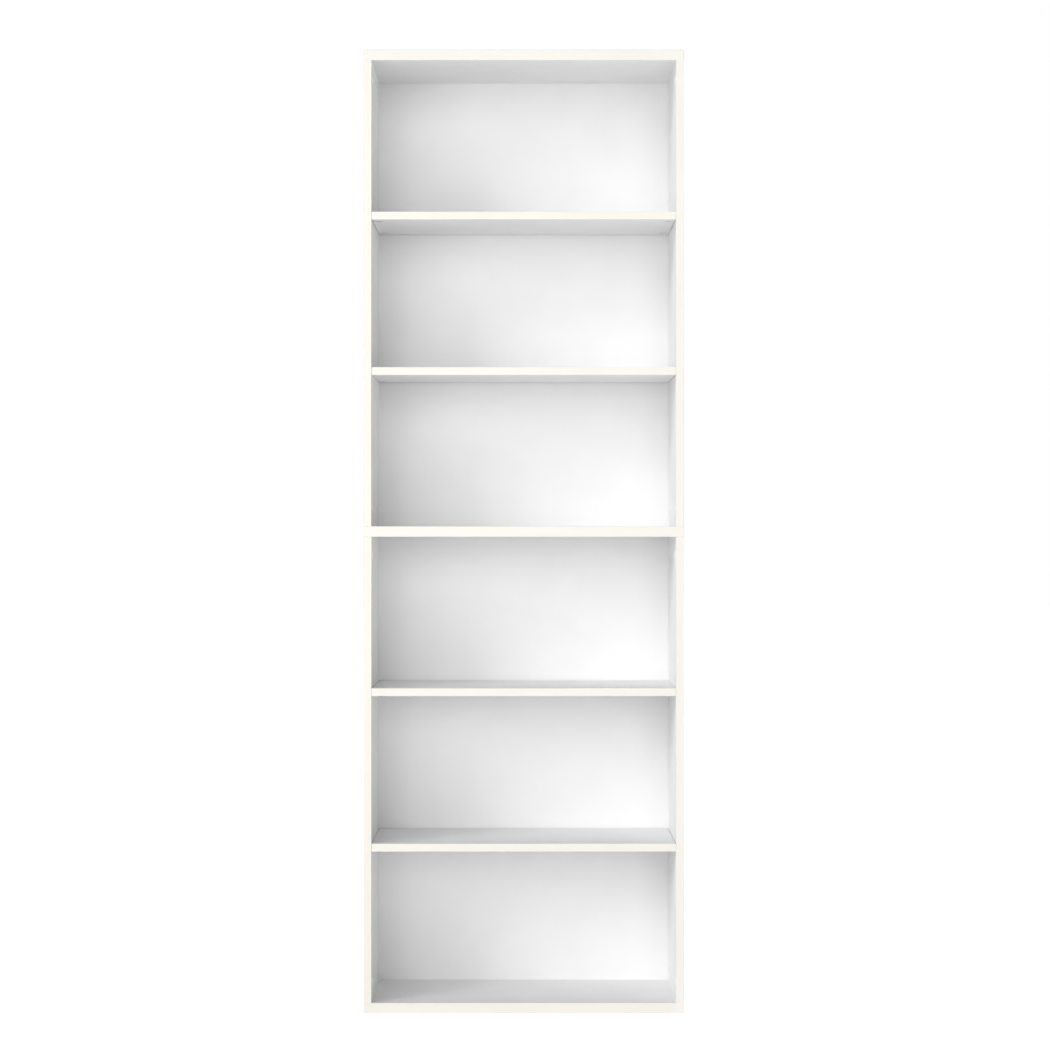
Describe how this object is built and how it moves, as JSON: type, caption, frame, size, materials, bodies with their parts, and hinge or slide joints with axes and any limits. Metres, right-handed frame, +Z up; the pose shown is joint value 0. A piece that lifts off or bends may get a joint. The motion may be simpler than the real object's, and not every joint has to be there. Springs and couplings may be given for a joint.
{
  "type": "bookcase with adjustable shelves",
  "caption": "Tall narrow open bookcase: full-width top, middle and bottom panels, side panels between them, a thin back and loose shelves on pins that set at several heights.",
  "frame": {"origin": "on the floor at the centre of the footprint", "axes": "+Z up, the open front faces -Y, +X to the right of a person facing the front"},
  "size_m": [0.61, 0.3, 1.835],
  "materials": {
    "board": "satin",
    "edging": "satin",
    "back": "matte",
    "pin": "satin",
    "nail": "satin",
    "cam": "satin",
    "cap": "satin",
    "bolt": "satin",
    "dowel": "matte"
  },
  "bodies": {
    "case": {"top_panel": "board", "middle_panel": "board", "bottom_panel": "board", "top_panel_edging": "edging", "middle_panel_edging": "edging", "bottom_panel_edging": "edging", "upper_left_side": "board", "upper_right_side": "board", "lower_left_side": "board", "lower_right_side": "board", "upper_left_side_edging": "edging", "upper_right_side_edging": "edging", "lower_left_side_edging": "edging", "lower_right_side_edging": "edging", "upper_back": "back", "lower_back": "back", "upper_back_nails": "nail", "lower_back_nails": "nail", "upper_left_cam_locks": "cam", "upper_right_cam_locks": "cam", "lower_left_cam_locks": "cam", "lower_right_cam_locks": "cam", "upper_left_cam_caps": "cap", "upper_right_cam_caps": "cap", "lower_left_cam_caps": "cap", "lower_right_cam_caps": "cap", "top_cam_bolts": "bolt", "bottom_cam_bolts": "bolt", "middle_double_bolts": "bolt", "top_dowels": "dowel", "bottom_dowels": "dowel", "middle_dowels": "dowel"},
    "shelf_1": {"shelf_1": "board", "shelf_1_edging": "edging"},
    "shelf_2": {"shelf_2": "board", "shelf_2_edging": "edging"},
    "shelf_3": {"shelf_3": "board", "shelf_3_edging": "edging"},
    "shelf_4": {"shelf_4": "board", "shelf_4_edging": "edging"},
    "shelf_1_pin_front_left": {"shelf_1_pin_front_left": "pin"},
    "shelf_1_pin_front_right": {"shelf_1_pin_front_right": "pin"},
    "shelf_1_pin_rear_left": {"shelf_1_pin_rear_left": "pin"},
    "shelf_1_pin_rear_right": {"shelf_1_pin_rear_right": "pin"},
    "shelf_2_pin_front_left": {"shelf_2_pin_front_left": "pin"},
    "shelf_2_pin_front_right": {"shelf_2_pin_front_right": "pin"},
    "shelf_2_pin_rear_left": {"shelf_2_pin_rear_left": "pin"},
    "shelf_2_pin_rear_right": {"shelf_2_pin_rear_right": "pin"},
    "shelf_3_pin_front_left": {"shelf_3_pin_front_left": "pin"},
    "shelf_3_pin_front_right": {"shelf_3_pin_front_right": "pin"},
    "shelf_3_pin_rear_left": {"shelf_3_pin_rear_left": "pin"},
    "shelf_3_pin_rear_right": {"shelf_3_pin_rear_right": "pin"},
    "shelf_4_pin_front_left": {"shelf_4_pin_front_left": "pin"},
    "shelf_4_pin_front_right": {"shelf_4_pin_front_right": "pin"},
    "shelf_4_pin_rear_left": {"shelf_4_pin_rear_left": "pin"},
    "shelf_4_pin_rear_right": {"shelf_4_pin_rear_right": "pin"}
  },
  "joints": [
    {"name": "shelf_1_lift", "type": "slide", "parent": "case", "child": "shelf_1", "axis": [0, 0, 1], "range_m": [0, 0.064]},
    {"name": "shelf_2_lift", "type": "slide", "parent": "case", "child": "shelf_2", "axis": [0, 0, 1], "range_m": [0, 0.064]},
    {"name": "shelf_3_lift", "type": "slide", "parent": "case", "child": "shelf_3", "axis": [0, 0, 1], "range_m": [0, 0.064]},
    {"name": "shelf_4_lift", "type": "slide", "parent": "case", "child": "shelf_4", "axis": [0, 0, 1], "range_m": [0, 0.064]},
    {"name": "shelf_1_pin_front_left_pull", "type": "slide", "parent": "case", "child": "shelf_1_pin_front_left", "axis": [1, 0, 0], "range_m": [0, 0.009]},
    {"name": "shelf_1_pin_front_right_pull", "type": "slide", "parent": "case", "child": "shelf_1_pin_front_right", "axis": [-1, 0, 0], "range_m": [0, 0.009]},
    {"name": "shelf_1_pin_rear_left_pull", "type": "slide", "parent": "case", "child": "shelf_1_pin_rear_left", "axis": [1, 0, 0], "range_m": [0, 0.009]},
    {"name": "shelf_1_pin_rear_right_pull", "type": "slide", "parent": "case", "child": "shelf_1_pin_rear_right", "axis": [-1, 0, 0], "range_m": [0, 0.009]},
    {"name": "shelf_2_pin_front_left_pull", "type": "slide", "parent": "case", "child": "shelf_2_pin_front_left", "axis": [1, 0, 0], "range_m": [0, 0.009]},
    {"name": "shelf_2_pin_front_right_pull", "type": "slide", "parent": "case", "child": "shelf_2_pin_front_right", "axis": [-1, 0, 0], "range_m": [0, 0.009]},
    {"name": "shelf_2_pin_rear_left_pull", "type": "slide", "parent": "case", "child": "shelf_2_pin_rear_left", "axis": [1, 0, 0], "range_m": [0, 0.009]},
    {"name": "shelf_2_pin_rear_right_pull", "type": "slide", "parent": "case", "child": "shelf_2_pin_rear_right", "axis": [-1, 0, 0], "range_m": [0, 0.009]},
    {"name": "shelf_3_pin_front_left_pull", "type": "slide", "parent": "case", "child": "shelf_3_pin_front_left", "axis": [1, 0, 0], "range_m": [0, 0.009]},
    {"name": "shelf_3_pin_front_right_pull", "type": "slide", "parent": "case", "child": "shelf_3_pin_front_right", "axis": [-1, 0, 0], "range_m": [0, 0.009]},
    {"name": "shelf_3_pin_rear_left_pull", "type": "slide", "parent": "case", "child": "shelf_3_pin_rear_left", "axis": [1, 0, 0], "range_m": [0, 0.009]},
    {"name": "shelf_3_pin_rear_right_pull", "type": "slide", "parent": "case", "child": "shelf_3_pin_rear_right", "axis": [-1, 0, 0], "range_m": [0, 0.009]},
    {"name": "shelf_4_pin_front_left_pull", "type": "slide", "parent": "case", "child": "shelf_4_pin_front_left", "axis": [1, 0, 0], "range_m": [0, 0.009]},
    {"name": "shelf_4_pin_front_right_pull", "type": "slide", "parent": "case", "child": "shelf_4_pin_front_right", "axis": [-1, 0, 0], "range_m": [0, 0.009]},
    {"name": "shelf_4_pin_rear_left_pull", "type": "slide", "parent": "case", "child": "shelf_4_pin_rear_left", "axis": [1, 0, 0], "range_m": [0, 0.009]},
    {"name": "shelf_4_pin_rear_right_pull", "type": "slide", "parent": "case", "child": "shelf_4_pin_rear_right", "axis": [-1, 0, 0], "range_m": [0, 0.009]}
  ]
}
